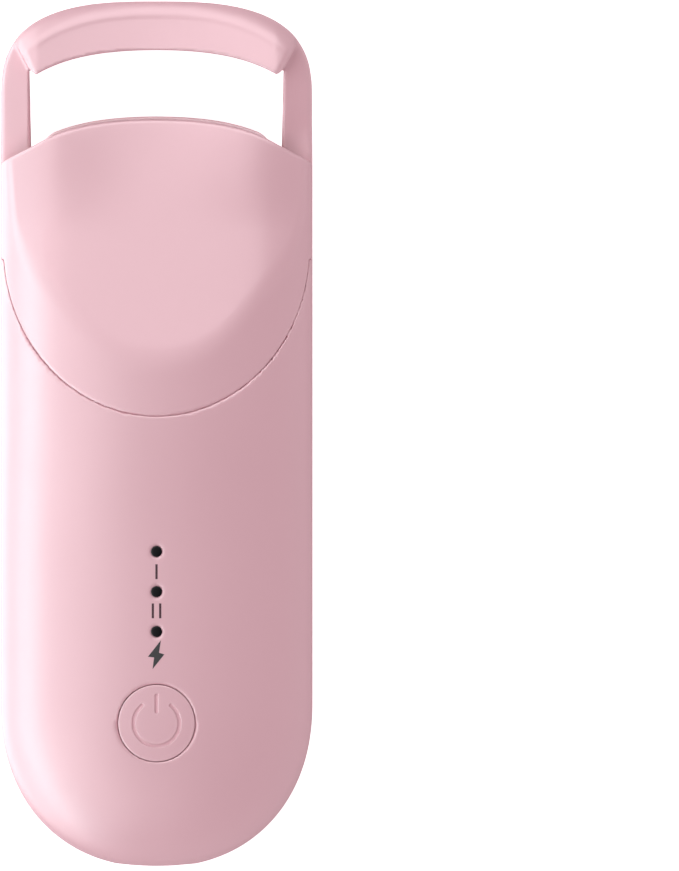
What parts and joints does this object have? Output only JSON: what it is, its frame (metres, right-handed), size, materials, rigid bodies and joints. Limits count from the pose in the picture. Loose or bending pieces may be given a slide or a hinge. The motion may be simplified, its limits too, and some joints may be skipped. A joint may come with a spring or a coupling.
{
  "type": "heated eyelash curler",
  "caption": "Capsule-shaped rechargeable eyelash curler: a thumb slider carries a heated, padded lower jaw up to a fixed curved arch across an open lash window.",
  "frame": {"origin": "centre of the bounding box's base, on the flat back the curler lies on", "axes": "+X across the body, +Y along it from the charging socket to the arch, +Z from the flat back to the slider side"},
  "size_m": [0.04, 0.1109, 0.0215],
  "materials": {
    "shell": "satin soft-touch",
    "silicone": "matte",
    "steel": "ground",
    "spring_steel": "bright wire",
    "screw_steel": "zinc plated",
    "nylon": "moulded",
    "spreader": "satin",
    "film": "gloss",
    "board": "solder mask",
    "chip": "moulded",
    "lens": "smoked",
    "shroud": "moulded",
    "lamp": "clear",
    "switch": "moulded",
    "pouch": "laminate film",
    "foam": "open cell",
    "lead": "insulated wire",
    "socket": "drawn",
    "gold": "plated"
  },
  "bodies": {
    "body": {"rear_housing": "shell", "front_shell": "shell", "heater_ribbon": "film", "guide_rod_left": "steel", "guide_rod_right": "steel", "return_spring_left": "spring_steel", "return_spring_right": "spring_steel", "housing_screws": "screw_steel", "board_screws": "screw_steel", "button_seal": "foam", "switch_body": "switch", "lens_low_heat": "lens", "lens_high_heat": "lens", "lens_charge": "lens", "light_shroud": "shroud", "indicator_lamps": "lamp", "main_board": "board", "charge_board": "board", "board_link": "film", "control_chips": "chip", "charge_coil": "chip", "socket_shell": "socket", "socket_tongue": "switch", "socket_contacts": "gold", "battery_cell": "pouch", "battery_foam": "foam", "battery_leads": "lead"},
    "slider": {"slider_cover": "shell", "slide_shutter": "nylon", "slide_carriage": "nylon", "carriage_screws": "screw_steel", "heating_pad": "silicone", "heater_film": "film", "heat_spreader": "spreader", "heat_sensor": "chip"},
    "button": {"power_button": "shell", "switch_plunger": "nylon"}
  },
  "joints": [
    {"name": "thumb_slide", "type": "slide", "parent": "body", "child": "slider", "axis": [0, 1, 0], "range_m": [0, 0.0086], "stiffness_N_per_m": 540, "springref_m": -0.003, "deforming": ["return_spring_left", "return_spring_right", "heater_ribbon"]},
    {"name": "button_press", "type": "slide", "parent": "body", "child": "button", "axis": [0, 0, -1], "range_m": [0, 0.00035], "stiffness_N_per_m": 3000, "springref_m": -0.00005}
  ]
}
